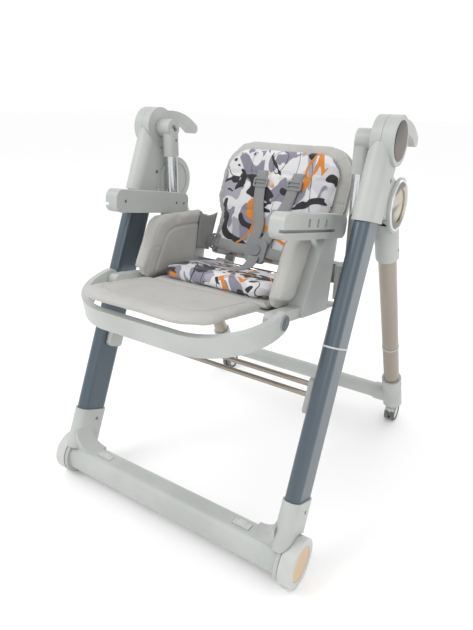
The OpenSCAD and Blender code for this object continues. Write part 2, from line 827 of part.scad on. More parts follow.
module footrest_button(s) {
    color(chrome) sided(s) ring_frame() {
        xrod(button_r, ring_out - 3, ring_out + 3);
        xrod(4.7, ring_out - 5.5, ring_out - 3);
    }
}

base_bar();
front_leg(-1);  // front_leg_l
front_leg(1);  // front_leg_r
hub_housing(-1);  // hub_housing_l
hub_housing(1);  // hub_housing_r
hub_caps();
leg_rings();
leg_brackets();
cross_rods();
bar_clips();
axle_pins();
base_screws();
rear_sleeve(-1);  // rear_sleeve_l
rear_sleeve(1);  // rear_sleeve_r
rear_legs();
rear_rings();
rear_bar();
rear_corners();
pivot_caps();
rear_screws();
caster_fork(-1);  // caster_fork_l
caster_fork(1);  // caster_fork_r
caster_wheels(-1);  // caster_wheels_l
caster_wheels(1);  // caster_wheels_r
brake_lever(-1);  // brake_lever_l
brake_lever(1);  // brake_lever_r
front_wheel(-1);  // front_wheel_l
front_wheel(1);  // front_wheel_r
wheel_disc(-1);  // wheel_disc_l
wheel_disc(1);  // wheel_disc_r
release_handle(-1);  // release_handle_l
release_handle(1);  // release_handle_r
swing_arm(-1);  // swing_arm_l
swing_arm(1);  // swing_arm_r
swing_tubes();
tube_feet();
swing_screws();
seat_shell();
carriages();
armrest(-1);  // armrest_l
armrest(1);  // armrest_r
armrest_screws();
seat_pad();
wing(-1);  // wing_l
wing(1);  // wing_r
seat_cushion();
waist_straps();
buckle();
buckle_button();
recline_pivot();
back_shell();
back_pad();
back_cushion();
shoulder_straps();
strap_sliders();
calf_panel();
footrest_ring();
footrest_button(-1);  // footrest_button_l
footrest_button(1);  // footrest_button_r
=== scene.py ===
import json
import math
import bmesh
import bpy
from mathutils import Matrix, Vector


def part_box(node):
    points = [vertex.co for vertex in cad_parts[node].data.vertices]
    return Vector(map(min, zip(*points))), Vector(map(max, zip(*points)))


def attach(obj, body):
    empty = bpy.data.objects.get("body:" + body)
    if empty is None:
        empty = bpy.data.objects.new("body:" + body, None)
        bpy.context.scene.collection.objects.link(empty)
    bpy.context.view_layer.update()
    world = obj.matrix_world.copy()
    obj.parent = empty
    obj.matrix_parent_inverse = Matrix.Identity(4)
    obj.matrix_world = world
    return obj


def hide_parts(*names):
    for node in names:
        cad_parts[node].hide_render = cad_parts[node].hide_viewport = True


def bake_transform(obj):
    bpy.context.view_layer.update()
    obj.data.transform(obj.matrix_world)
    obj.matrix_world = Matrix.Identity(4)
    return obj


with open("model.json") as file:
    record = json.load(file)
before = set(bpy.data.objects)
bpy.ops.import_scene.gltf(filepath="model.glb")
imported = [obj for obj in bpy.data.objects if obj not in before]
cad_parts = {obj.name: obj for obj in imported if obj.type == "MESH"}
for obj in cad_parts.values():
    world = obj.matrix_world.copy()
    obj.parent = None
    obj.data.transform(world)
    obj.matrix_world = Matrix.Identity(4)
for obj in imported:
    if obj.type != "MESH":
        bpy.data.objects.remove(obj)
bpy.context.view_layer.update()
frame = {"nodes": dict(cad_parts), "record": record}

scene = bpy.context.scene
print("frame loaded")

# where the seat and the backrest are
seatPlace = {"y": 15, "z": 560, "tilt": 10}  # millimetres and degrees, as the seat hangs
backPlace = {"y": 35, "z": -85, "tilt": 14.7}  # in the seat's own frame
mm = 0.001  # the frame is in metres


def tilted(where):
    shift = Matrix.Translation((0, where["y"] * mm, where["z"] * mm))
    return shift @ Matrix.Rotation(math.radians(-where["tilt"]), 4, "X")


seatFrame = tilted(seatPlace)
backFrame = seatFrame @ tilted(backPlace)


def place(frameOf, x, y, z):
    return frameOf @ Vector((x * mm, y * mm, z * mm))


# camera and light
cameraPlace = {"at": (0.5749, -0.9334, 0.8172), "yaw": 32.83, "pitch": 22.69, "roll": 0.84,
               "lens": 30.09}
lamps = {  # place and side in metres, power in watts
    "keyLight": {"at": (-1.4, -1.8, 2.8), "size": 1.4, "power": 30},
    "fillLight": {"at": (2.4, -1.6, 1.6), "size": 2.0, "power": 9},
    "backLight": {"at": (0.4, 2.6, 2.2), "size": 1.8, "power": 14},
}
room = {"colour": (1, 1, 1, 1), "strength": 1.0, "lit": (0, 0, 0.4)}  # the lamps face "lit"


def makeCamera(c):
    yaw, pitch, roll = (math.radians(c[k]) for k in ("yaw", "pitch", "roll"))
    level = math.cos(pitch)
    ahead = Vector((-math.sin(yaw) * level, math.cos(yaw) * level, -math.sin(pitch)))
    right = Vector((math.cos(yaw), math.sin(yaw), 0))
    up = right.cross(ahead)
    side = right * math.cos(roll) + up * math.sin(roll)
    top = up * math.cos(roll) - right * math.sin(roll)
    data = bpy.data.cameras.new("studioCamera")
    data.sensor_width = 36
    data.lens = c["lens"]
    cam = bpy.data.objects.new("studioCamera", data)
    turn = Matrix((side, top, -ahead)).transposed().to_4x4()
    cam.matrix_world = Matrix.Translation(c["at"]) @ turn
    scene.collection.objects.link(cam)
    scene.camera = cam


def makeLights():
    for name, lamp in lamps.items():
        data = bpy.data.lights.new(name, "AREA")
        data.size = lamp["size"]
        data.energy = lamp["power"]
        light = bpy.data.objects.new(name, data)
        turn = (Vector(room["lit"]) - Vector(lamp["at"])).to_track_quat("-Z", "Y")
        light.matrix_world = Matrix.Translation(lamp["at"]) @ turn.to_matrix().to_4x4()
        scene.collection.objects.link(light)
    world = bpy.data.worlds.new("paleRoom")
    world.use_nodes = True
    background = world.node_tree.nodes["Background"].inputs
    background["Color"].default_value = room["colour"]
    background["Strength"].default_value = room["strength"]
    scene.world = world
    scene.view_settings.view_transform = "Standard"


makeCamera(cameraPlace)
makeLights()
print("camera and lights placed")


class Value:  # a shader socket that takes ordinary arithmetic
    def __init__(self, finish, socket):
        self.finish = finish
        self.socket = socket

    def maths(self, operation, a, b):
        return self.finish.node("Math", {"operation": operation}, {0: a, 1: b})

    def __add__(self, other): return self.maths("ADD", self, other)
    def __radd__(self, other): return self.maths("ADD", other, self)
    def __sub__(self, other): return self.maths("SUBTRACT", self, other)
    def __rsub__(self, other): return self.maths("SUBTRACT", other, self)
    def __mul__(self, other): return self.maths("MULTIPLY", self, other)
    def __rmul__(self, other): return self.maths("MULTIPLY", other, self)
    def __lt__(self, other): return self.maths("LESS_THAN", self, other)
    def __abs__(self): return self.maths("ABSOLUTE", self, 0)


def paint(code):  # a screen colour such as c8c6bf as linear light
    parts = [int(code[i:i + 2], 16) / 255 for i in (0, 2, 4)]
    linear = [p / 12.92 if p <= 0.04045 else ((p + 0.055) / 1.055) ** 2.4 for p in parts]
    return (*linear, 1)


class Finish:  # one node material and the ways to fill its sockets
    def __init__(self, name, colour, roughness=0.5, metallic=0.0, coat=0.0, sheen=0.0):
        self.material = bpy.data.materials.new(name)
        self.material.use_nodes = True
        self.tree = self.material.node_tree
        self.shader = self.tree.nodes["Principled BSDF"]
        self.material.diffuse_color = paint(colour)
        self.base = paint(colour)
        self.put("Base Color", self.base)
        self.put("Roughness", roughness)
        self.put("Metallic", metallic)
        self.put("Coat Weight", coat)
        self.put("Sheen Weight", sheen)
        self.where = self.node("TexCoord", {}, {}, "Object")

    def put(self, name, value):
        if isinstance(value, Value):
            self.tree.links.new(value.socket, self.shader.inputs[name])
        else:
            self.shader.inputs[name].default_value = value

    def node(self, kind, settings, inputs, output=0):
        made = self.tree.nodes.new("ShaderNode" + kind)
        for key, value in settings.items():
            setattr(made, key, value)
        for key, value in inputs.items():
            if isinstance(value, Value):
                self.tree.links.new(value.socket, made.inputs[key])
            else:
                made.inputs[key].default_value = value
        return Value(self, made.outputs[output])

    def turned(self, scale, turn=(0, 0, 0), shift=(0, 0, 0)):
        angles = tuple(math.radians(t) for t in turn)
        return self.node("Mapping", {}, {
            "Vector": self.where, "Scale": scale, "Rotation": angles, "Location": shift})

    def noise(self, scale, detail, where=None, distortion=0.0):
        return self.node("TexNoise", {}, {
            "Vector": where or self.where, "Scale": scale, "Detail": detail,
            "Distortion": distortion}, "Fac")

    def cells(self, scale):
        return self.node("TexVoronoi", {"feature": "DISTANCE_TO_EDGE"}, {
            "Vector": self.where, "Scale": scale})

    def mix(self, mask, a, b):
        return self.node("Mix", {"data_type": "RGBA"}, {0: mask, 6: a, 7: b}, 2)

    def ramp(self, value, low, high):  # 0 below low, 1 above high
        return self.node("MapRange", {"interpolation_type": "SMOOTHSTEP"}, {
            "Value": value, "From Min": low, "From Max": high})

    def bump(self, height, strength, distance):
        self.put("Normal", self.node("Bump", {}, {
            "Height": height, "Strength": strength, "Distance": distance}))


def mouldedPlastic(name, colour, shade, roughness=0.42):
    f = Finish(name, colour, roughness, coat=0.05)
    cloud = f.noise(9, 3)
    f.put("Base Color", f.mix(f.ramp(cloud, 0.35, 0.7), f.base, paint(shade)))
    grain = f.noise(1400, 2)
    f.put("Roughness", roughness - 0.05 + 0.1 * cloud)
    f.bump(grain, 0.12, 0.0004)
    return f.material


def paintedTube(name, colour, shade, metallic, roughness):
    f = Finish(name, colour, roughness, metallic, coat=0.25)
    flake = f.noise(2600, 1)
    along = f.noise(14, 2, f.turned((1, 1, 0.2)))
    f.put("Base Color", f.mix(f.ramp(flake, 0.5, 0.75) * 0.5 + 0.3 * along, f.base, paint(shade)))
    f.put("Roughness", roughness - 0.06 + 0.12 * along)
    f.bump(flake, 0.05, 0.0002)
    return f.material


def polishedMetal(name, colour, shade, roughness):
    f = Finish(name, colour, roughness, 1.0)
    smear = f.noise(35, 3, f.turned((1, 1, 0.3)))
    f.put("Base Color", f.mix(f.ramp(smear, 0.4, 0.8), f.base, paint(shade)))
    f.put("Roughness", roughness + 0.1 * smear)
    f.bump(f.noise(300, 2), 0.03, 0.0002)
    return f.material


def leatherette(name, colour, shade, roughness=0.5):
    f = Finish(name, colour, roughness, coat=0.03)
    bent = f.noise(60, 2)
    pebble = f.cells(620)
    wear = f.noise(11, 4)
    f.put("Base Color", f.mix(f.ramp(wear, 0.4, 0.72) * 0.8, f.base, paint(shade)))
    f.put("Roughness", roughness - 0.08 + 0.18 * wear)
    crease = f.ramp(pebble, 0.0, 0.16)
    f.bump(crease + 0.7 * bent + 0.3 * f.noise(1500, 2), 0.35, 0.0005)
    return f.material


def printedCover(name, shift):
    f = Finish(name, "d9d8da", 0.78, sheen=0.15)
    brush = f.turned((1, 1, 0.5), (0, 24, 18), shift)
    far = f.turned((0.6, 1, 1), (10, -38, -12), tuple(s + 0.7 for s in shift))
    third = f.turned((1, 0.8, 0.55), (0, -30, 40), tuple(s - 1.3 for s in shift))
    colour = f.mix(f.ramp(f.noise(9.5, 1, far, 1.6), 0.53, 0.538), f.base, paint("c9c8cc"))
    colour = f.mix(f.ramp(f.noise(10.5, 1.5, brush, 2.2), 0.54, 0.548), colour, paint("83818f"))
    colour = f.mix(f.ramp(f.noise(8, 1, third, 1.8), 0.585, 0.592), colour, paint("a19fa9"))
    colour = f.mix(f.ramp(f.noise(12, 1.2, far, 2.6), 0.60, 0.606), colour, paint("232327"))
    line = abs(f.noise(8, 0.5, brush, 1.4) - 0.52)
    colour = f.mix(f.ramp(line, 0.006, 0.004), colour, paint("2b2b30"))
    streak = abs(f.noise(6, 1, third, 2.4) - 0.5)
    band = f.ramp(streak, 0.030, 0.027) * f.ramp(f.noise(9, 1, brush, 0.5), 0.53, 0.54)
    colour = f.mix(band, colour, paint("cf8030"))
    f.put("Base Color", colour)
    weaveA = f.node("TexWave", {"bands_direction": "X"}, {"Vector": f.where, "Scale": 420.0})
    weaveB = f.node("TexWave", {"bands_direction": "Z"}, {"Vector": f.where, "Scale": 420.0})
    f.bump(weaveA * weaveB + 0.8 * f.noise(24, 3), 0.35, 0.0012)
    return f.material


def webbing(name, colour):
    f = Finish(name, colour, 0.72, sheen=0.2)
    uv = f.node("TexCoord", {}, {}, "UV")
    ribs = f.node("TexWave", {"bands_direction": "DIAGONAL"}, {"Vector": uv, "Scale": 190.0})
    across = f.node("TexWave", {"bands_direction": "X"}, {"Vector": uv, "Scale": 120.0})
    f.put("Base Color", f.mix(ribs * 0.4 + 0.3 * f.noise(40, 2), f.base, paint("747675")))
    f.bump(ribs + 0.6 * across, 0.5, 0.0006)
    return f.material


def meshCloth(name, colour):
    f = Finish(name, colour, 0.85, sheen=0.2)
    net = f.cells(420)
    f.put("Base Color", f.mix(f.ramp(net, 0.05, 0.3) * 0.7, f.base, paint("7b7b79")))
    f.bump(1 - f.ramp(net, 0.0, 0.2), 0.5, 0.0006)
    return f.material


# painted reflection: a stretched noise sweep paints a dark band and a light band into the metallic base
# colour in place of reflected surroundings
def bronzePaintedReflection(name, colour, paintedReflectionDark, paintedReflectionLight):
    f = Finish(name, colour, 0.08, 1.0)
    paintedReflectionSweep = f.noise(7, 1, f.turned((1, 0.6, 1.6), (25, 0, 0)), 0.8)
    paintedReflectionDarkened = f.mix(f.ramp(paintedReflectionSweep, 0.36, 0.5), paint(paintedReflectionDark), f.base)
    f.put("Base Color", f.mix(f.ramp(paintedReflectionSweep, 0.56, 0.62), paintedReflectionDarkened, paint(paintedReflectionLight)))
    f.put("Roughness", 0.05 + 0.1 * f.noise(40, 2))
    return f.material


def casterWheel(name, look):  # a dark tyre round a pale hub
    f = Finish(name, look["tyre"], 0.6)
    y, z = (f.node("SeparateXYZ", {}, {0: f.where}, k) - look["axle"][k - 1] * mm for k in (1, 2))
    inHub = (y * y + z * z) < (look["hubRadius"] * mm) ** 2
    tyre = f.mix(f.ramp(f.noise(50, 3), 0.4, 0.7), f.base, paint(look["worn"]))
    f.put("Base Color", f.mix(inHub, tyre, paint(look["hub"])))
    f.put("Roughness", 0.62 - 0.25 * inHub)
    f.bump(f.noise(700, 3), 0.25, 0.0004)
    return f.material


def treadRubber(name, colour):
    f = Finish(name, colour, 0.62)
    f.put("Base Color", f.mix(f.ramp(f.noise(50, 3), 0.4, 0.7), f.base, paint("5c5e60")))
    f.bump(f.noise(700, 3), 0.3, 0.0005)
    return f.material


finishes = {
    "grey_plastic": mouldedPlastic("greyPlastic", "b4b7b4", "abaeab"),
    "light_plastic": mouldedPlastic("lightPlastic", "c3c5c2", "b9bbb9", 0.38),
    "dark_plastic": mouldedPlastic("darkPlastic", "77797b", "6d6f71"),
    "buckle_plastic": mouldedPlastic("bucklePlastic", "7c7e81", "707275"),
    "tan_disc": mouldedPlastic("tanHubDisc", "c9ae8c", "bfa17d", 0.3),
    "leg_paint": paintedTube("slateLegPaint", "57626b", "49545d", 0.6, 0.3),
    "taupe_paint": paintedTube("champagnePaint", "a39a8f", "8b8277", 0.8, 0.32),
    "chrome": polishedMetal("polishedChrome", "d6d8da", "c4c6c8", 0.12),
    # the bronze trim's colour carries a painted reflection of dark and light bands
    "bronze_trim": bronzePaintedReflection("bronzePaintedReflection", "5c5140", "221d16", "b9b2a0"),
    "screw_steel": polishedMetal("screwSteel", "8f9396", "7d8184", 0.3),
    "leatherette": leatherette("greyLeatherette", "b5b4b0", "aaa9a5"),
    "printed_fabric": printedCover("brushPrint", (0.3, 0.1, 0.2)),
    "webbing": webbing("harnessWebbing", "8f9190"),
    "wheel_rubber": treadRubber("casterRubber", "4b4e51"),
}
gussetCloth = meshCloth("gussetMesh", "9b9b98")
threadFinish = webbing("seamThread", "a9a7a1")
casterLook = {"tyre": "6a6d6f", "worn": "5c5e60", "hub": "d0d1cf", "axle": (338, 23), "hubRadius": 16.5}
casterFinish = casterWheel("casterWheelTwoTone", casterLook)
slotOf = {part["node"]: part["material_slot"] for part in frame["record"]["subparts"]}
for nodeName, nodeObject in frame["nodes"].items():
    isCaster = nodeName.startswith("caster_wheels")
    nodeObject.data.materials.clear()
    nodeObject.data.materials.append(casterFinish if isCaster else finishes[slotOf[nodeName]])
print("finishes made")


floorLook = {"reach": 20, "pale": "fefefe", "shade": "fcfcfc", "roughness": 0.8}


def makeFloor():
    far = floorLook["reach"]
    mesh = bpy.data.meshes.new("studioFloor")
    mesh.from_pydata([(-far, -far, 0), (far, -far, 0), (far, far, 0), (-far, far, 0)], [], [(0, 1, 2, 3)])
    floor = bpy.data.objects.new("studioFloor", mesh)
    scene.collection.objects.link(floor)
    f = Finish("paleFloor", floorLook["pale"], floorLook["roughness"])
    f.put("Base Color", f.mix(f.noise(3, 2), f.base, paint(floorLook["shade"])))
    mesh.materials.append(f.material)


makeFloor()


def newPiece(name, mesh, material, smooth=True):
    piece = bpy.data.objects.new(name, mesh)
    scene.collection.objects.link(piece)
    mesh.materials.clear()
    mesh.materials.append(material)
    for face in mesh.polygons:
        face.use_smooth = smooth
    return piece


def settle(piece):  # bakes the live modifiers into the mesh
    graph = bpy.context.evaluated_depsgraph_get()
    baked = bpy.data.meshes.new_from_object(piece.evaluated_get(graph))
    piece.modifiers.clear()
    piece.data = baked


def solidMesh(name, verts, faces):  # with every face turned outwards
    mesh = bpy.data.meshes.new(name)
    mesh.from_pydata(verts, [], faces)
    work = bmesh.new()
    work.from_mesh(mesh)
    bmesh.ops.recalc_face_normals(work, faces=work.faces)
    work.to_mesh(mesh)
    work.free()
    return mesh


def copyNode(node, frameOf, shrink):  # shrinks each side by a length in frameOf
    mesh = frame["nodes"][node].data.copy()
    work = bmesh.new()
    work.from_mesh(mesh)
    bmesh.ops.remove_doubles(work, verts=work.verts, dist=1e-5)
    bmesh.ops.transform(work, matrix=frameOf.inverted(), verts=work.verts)
    low = Vector([min(v.co[i] for v in work.verts) for i in range(3)])
    high = Vector([max(v.co[i] for v in work.verts) for i in range(3)])
    centre = (low + high) / 2
    for v in work.verts:
        for i in range(3):
            half = (high[i] - low[i]) / 2
            v.co[i] = centre[i] + (v.co[i] - centre[i]) * (half - shrink[i] * mm) / half
    bmesh.ops.transform(work, matrix=frameOf, verts=work.verts)
    work.to_mesh(mesh)
    work.free()
    return mesh


def relax(mesh, times):
    work = bmesh.new()
    work.from_mesh(mesh)
    for _ in range(times):
        bmesh.ops.smooth_vert(work, verts=work.verts, factor=0.5,
                              use_axis_x=True, use_axis_y=True, use_axis_z=True)
    work.to_mesh(mesh)
    work.free()


air = {"frames": 20, "quality": 4, "relax": 2}  # how the pads are blown up


def blowUp(piece, pressure, cap):  # no point moves more than cap
    before = [v.co.copy() for v in piece.data.vertices]
    cloth = piece.modifiers.new("air", "CLOTH")
    cloth.settings.use_pressure = True
    cloth.settings.uniform_pressure_force = pressure
    cloth.settings.effector_weights.gravity = 0
    cloth.settings.quality = air["quality"]
    cloth.point_cache.frame_start, cloth.point_cache.frame_end = 1, air["frames"]
    for step in range(1, air["frames"] + 1):
        scene.frame_set(step)
    graph = bpy.context.evaluated_depsgraph_get()
    swollen = [v.co.copy() for v in piece.evaluated_get(graph).data.vertices]
    piece.modifiers.clear()
    scene.frame_set(1)
    for v, a, b in zip(piece.data.vertices, before, swollen):
        move = b - a
        if move.length > cap * mm:
            move *= cap * mm / move.length
        v.co = a + move


def makePad(name, node, frameOf, slot, size):
    mesh = copyNode(node, frameOf, size["shrink"])
    pad = newPiece(name, mesh, finishes[slot])
    grid = pad.modifiers.new("grid", "REMESH")
    grid.mode = "VOXEL"
    grid.voxel_size = size["voxel"] * mm
    settle(pad)
    relax(pad.data, size["soften"])
    blowUp(pad, size["pressure"], size["cap"])
    relax(pad.data, air["relax"])
    fine = pad.modifiers.new("fine", "SUBSURF")
    fine.levels = fine.render_levels = 1
    settle(pad)
    pad.data.materials.clear()
    pad.data.materials.append(finishes[slot])
    for face in pad.data.polygons:
        face.use_smooth = True
    print("pad", name, len(pad.data.vertices))
    return pad


def distanceTo(path, p, closed):
    best = math.inf
    count = len(path) if closed else len(path) - 1
    for i in range(count):
        ax, ay = path[i]
        bx, by = path[(i + 1) % len(path)]
        dx, dy = bx - ax, by - ay
        t = max(0.0, min(1.0, ((p[0] - ax) * dx + (p[1] - ay) * dy) / (dx * dx + dy * dy + 1e-12)))
        best = min(best, (p[0] - ax - t * dx) ** 2 + (p[1] - ay - t * dy) ** 2)
    return math.sqrt(best)


def sewChannels(pad, frameOf, axes, seams, facing):  # sinks each seam into the side that faces out
    back = frameOf.inverted()
    normalMatrix = back.to_3x3()
    pad.data.update()
    for v in pad.data.vertices:
        local = back @ v.co
        side = (normalMatrix @ v.normal)[facing[0]] * facing[1]
        if side < 0.25:  # the edge and the back keep their shape
            continue
        at = (local[axes[0]] / mm, local[axes[1]] / mm)
        sink = 0.0
        for seam in seams:
            d = distanceTo(seam["path"], at, seam.get("closed", False))
            sink = max(sink, seam["depth"] * math.exp(-(d / seam["width"]) ** 2))
        if sink > 0.02:
            v.co -= v.normal * sink * mm


def inset(path, distance):
    following = path[1:] + path[:1]
    area = sum(a[0] * b[1] - b[0] * a[1] for a, b in zip(path, following))
    turn = 1 if area > 0 else -1
    out = []
    for i, p in enumerate(path):
        a, b = path[i - 1], path[(i + 1) % len(path)]
        dx, dy = b[0] - a[0], b[1] - a[1]
        length = math.hypot(dx, dy) or 1
        out.append((p[0] - turn * dy / length * distance, p[1] + turn * dx / length * distance))
    return out


def roundedRect(w, h, r, steps):
    path = []
    for k, (sx, sy) in enumerate(((1, 1), (-1, 1), (-1, -1), (1, -1))):
        for i in range(steps + 1):
            a = math.radians(90 * k + 90 * i / steps)
            path.append((sx * (w / 2 - r) + r * math.cos(a), sy * (h / 2 - r) + r * math.sin(a)))
    return path


def smoothPath(points, spacing):  # a curve through every point
    pts = [Vector(p) for p in points]
    pts = [pts[0] * 2 - pts[1]] + pts + [pts[-1] * 2 - pts[-2]]
    out = []
    for i in range(1, len(pts) - 2):
        a, b, c, d = pts[i - 1:i + 3]
        steps = max(2, int((c - b).length / spacing))
        for k in range(steps):
            t = k / steps
            bend = (2 * a - 5 * b + 4 * c - d) * t * t + (3 * b - a - 3 * c + d) * t ** 3
            out.append(0.5 * ((2 * b) + (c - a) * t + bend))
    out.append(pts[-2])
    return out


def ribbon(name, points, across, size, material):  # a flat strap with rounded edges
    path = smoothPath(points, 0.006)
    half, thick, edge = size["width"] * mm / 2, size["thick"] * mm / 2, size["thick"] * mm * 0.45
    crown = thick * 1.15
    ring = [(-half, -thick + edge), (-half + edge, -thick), (0, -crown), (half - edge, -thick),
            (half, -thick + edge), (half, thick - edge), (half - edge, thick), (0, crown),
            (-half + edge, thick), (-half, thick - edge)]
    count, last = len(ring), len(path) - 1
    verts, faces, runs, run = [], [], [], 0.0
    for i, p in enumerate(path):
        ahead = (path[min(i + 1, last)] - path[max(i - 1, 0)]).normalized()
        side = (across - ahead * across.dot(ahead)).normalized()
        up = side.cross(ahead)
        verts += [p + side * u + up * v for u, v in ring]
        run += (p - path[i - 1]).length if i else 0
        runs.append(run)
    for i in range(last):
        for k in range(count):
            here, there, j = i * count, (i + 1) * count, (k + 1) % count
            faces.append((here + k, here + j, there + j, there + k))
    faces += [tuple(range(count)), tuple(last * count + k for k in range(count))]
    mesh = solidMesh(name, verts, faces)
    uv = mesh.uv_layers.new(name="UVMap")
    for loop in mesh.loops:
        uv.data[loop.index].uv = (ring[loop.vertex_index % count][0], runs[loop.vertex_index // count])
    return newPiece(name, mesh, material)


def stitchTree():  # lays one thread after another along a seam
    tree = bpy.data.node_groups.new("stitchRow", "GeometryNodeTree")
    tree.interface.new_socket("Geometry", in_out="INPUT", socket_type="NodeSocketGeometry")
    for label, value in (("Pitch", 0.005), ("Length", 0.0034), ("Thickness", 0.0005)):
        socket = tree.interface.new_socket(label, in_out="INPUT", socket_type="NodeSocketFloat")
        socket.default_value = value
    tree.interface.new_socket("Thread", in_out="INPUT", socket_type="NodeSocketMaterial")
    tree.interface.new_socket("Geometry", in_out="OUTPUT", socket_type="NodeSocketGeometry")
    add, link = tree.nodes.new, tree.links.new
    start, end = add("NodeGroupInput"), add("NodeGroupOutput")
    curve, walk = add("GeometryNodeMeshToCurve"), add("GeometryNodeResampleCurve")
    walk.mode = "LENGTH"
    lay, tangent = add("GeometryNodeInstanceOnPoints"), add("GeometryNodeInputTangent")
    thread, turn = add("GeometryNodeMeshCylinder"), add("FunctionNodeAlignEulerToVector")
    turn.axis = "Z"
    thread.inputs["Vertices"].default_value = 6
    real, tint = add("GeometryNodeRealizeInstances"), add("GeometryNodeSetMaterial")
    link(start.outputs["Geometry"], curve.inputs[0])
    link(curve.outputs[0], walk.inputs["Curve"])
    link(start.outputs["Pitch"], walk.inputs["Length"])
    link(walk.outputs[0], lay.inputs["Points"])
    link(start.outputs["Length"], thread.inputs["Depth"])
    link(start.outputs["Thickness"], thread.inputs["Radius"])
    link(thread.outputs["Mesh"], lay.inputs["Instance"])
    link(tangent.outputs[0], turn.inputs["Vector"])
    link(turn.outputs[0], lay.inputs["Rotation"])
    link(lay.outputs[0], real.inputs[0])
    link(real.outputs[0], tint.inputs["Geometry"])
    link(start.outputs["Thread"], tint.inputs["Material"])
    link(tint.outputs[0], end.inputs[0])
    return tree


stitches = stitchTree()


def sewRows(name, rows, body, size):
    verts, edges = [], []
    for row in rows:
        first = len(verts)
        verts += row
        edges += [(first + i, first + i + 1) for i in range(len(row) - 1)]
    mesh = bpy.data.meshes.new(name)
    mesh.from_pydata(verts, edges, [])
    line = bpy.data.objects.new(name, mesh)
    scene.collection.objects.link(line)
    sew = line.modifiers.new("sew", "NODES")
    sew.node_group = stitches
    sockets = stitches.interface.items_tree
    ids = {item.name: item.identifier for item in sockets if item.in_out == "INPUT"}
    sew[ids["Pitch"]] = size["pitch"] * mm
    sew[ids["Length"]] = size["length"] * mm
    sew[ids["Thickness"]] = size["thick"] * mm
    sew[ids["Thread"]] = threadFinish
    settle(line)
    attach(line, body)


seamWalk = {"step": 4, "start": 0.3, "lift": 0.1}  # mm, metres off the pad, mm


def onSurface(pad, frameOf, axes, facing, path, closed=False):  # drops a path onto the pad
    graph = bpy.context.evaluated_depsgraph_get()
    graph.update()
    probe = pad.evaluated_get(graph)
    ahead = frameOf.to_3x3().col[facing[0]].normalized() * facing[1]
    depth = (frameOf.inverted() @ probe.data.vertices[0].co)[facing[0]]
    ring = path + [path[0]] if closed else path
    found = []
    for i in range(len(ring) - 1):
        a, b = ring[i], ring[i + 1]
        steps = max(1, int(math.hypot(b[0] - a[0], b[1] - a[1]) / seamWalk["step"]))
        for k in range(steps):
            t = k / steps
            local = [0.0, 0.0, 0.0]
            local[axes[0]] = (a[0] + (b[0] - a[0]) * t) * mm
            local[axes[1]] = (a[1] + (b[1] - a[1]) * t) * mm
            local[facing[0]] = depth
            origin = frameOf @ Vector(local) + ahead * seamWalk["start"]
            hit, at, normal, _ = probe.ray_cast(origin, -ahead)
            if hit:
                found.append(at + normal * seamWalk["lift"] * mm)
    return found


# wings
wing = {
    "shrink": (2.2, 2.0, 2.0), "voxel": 5, "soften": 3, "pressure": 3.0, "cap": 4.5,
    "line": [(-166, -106), (-158, -78), (-147, -48), (-139, -24), (-127, -4), (-110, 6), (-92, 11),
             (-40, 17), (16, 19), (10, -60), (-2, -126), (-150, -126)],
    "panel": [(-134, -118), (-128, -92), (-116, -66), (-108, -44), (-96, -30), (-78, -22),
              (-40, -17), (14, -14)],
    "creases": [[(-157, -62), (-118, -62)], [(-92, 12), (-86, -24)]],
    "border": 5, "stitchIn": 6.5, "stitchBeside": (-3.5, 2),
    "underside": 3,  # the last points of the line, which get no stitches
    "thread": {"pitch": 4.2, "length": 2.9, "thick": 0.35},
}
wingSeams = [{"path": wing["panel"], "depth": 2.4, "width": 2.6},
             {"path": inset(wing["line"], wing["border"]), "depth": 0.8, "width": 1.6, "closed": True}]
wingSeams += [{"path": crease, "depth": 1.2, "width": 1.6} for crease in wing["creases"]]
besideY, besideZ = wing["stitchBeside"]
wingRows = [inset(wing["line"], wing["stitchIn"])[:-wing["underside"]],
            [(y + besideY, z + besideZ) for y, z in wing["panel"]]]
for side, label, node in ((-1, "Left", "wing_l"), (1, "Right", "wing_r")):
    pad = makePad("wingPad" + label, node, seatFrame, "leatherette", wing)
    sewChannels(pad, seatFrame, (1, 2), wingSeams, (0, -side))
    rows = [onSurface(pad, seatFrame, (1, 2), (0, -side), path) for path in wingRows]
    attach(pad, "seat")
    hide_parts(node)
    sewRows("wingStitches" + label, rows, "seat", wing["thread"])
print("wings sewn")

# leatherette seat base and the printed cushion on it
seatBase = {
    "shrink": (2.5, 2.5, 2.4), "voxel": 5, "soften": 3, "pressure": 2.5, "cap": 3,
    "creases": [[(-144, -157), (-118, -120)], [(144, -157), (118, -120)]],
}
pad = makePad("seatBasePad", "seat_pad", seatFrame, "leatherette", seatBase)
sewChannels(pad, seatFrame, (0, 1), [
    {"path": crease, "depth": 1.2, "width": 2} for crease in seatBase["creases"]], (2, 1))
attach(pad, "seat")
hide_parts("seat_pad")

seatCushion = {
    "shrink": (3, 3, 3), "voxel": 5, "soften": 3, "pressure": 4.0, "cap": 7,
    "seams": [{"path": [(-66, -146), (-56, -70), (-60, 24)], "depth": 2.0, "width": 4},
              {"path": [(66, -146), (56, -70), (60, 24)], "depth": 2.0, "width": 4},
              {"path": [(-132, -84), (0, -92), (132, -84)], "depth": 1.8, "width": 4}],
}
pad = makePad("seatCushionPad", "seat_cushion", seatFrame, "printed_fabric", seatCushion)
sewChannels(pad, seatFrame, (0, 1), seatCushion["seams"], (2, 1))
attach(pad, "seat")
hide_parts("seat_cushion")
print("seat padded")

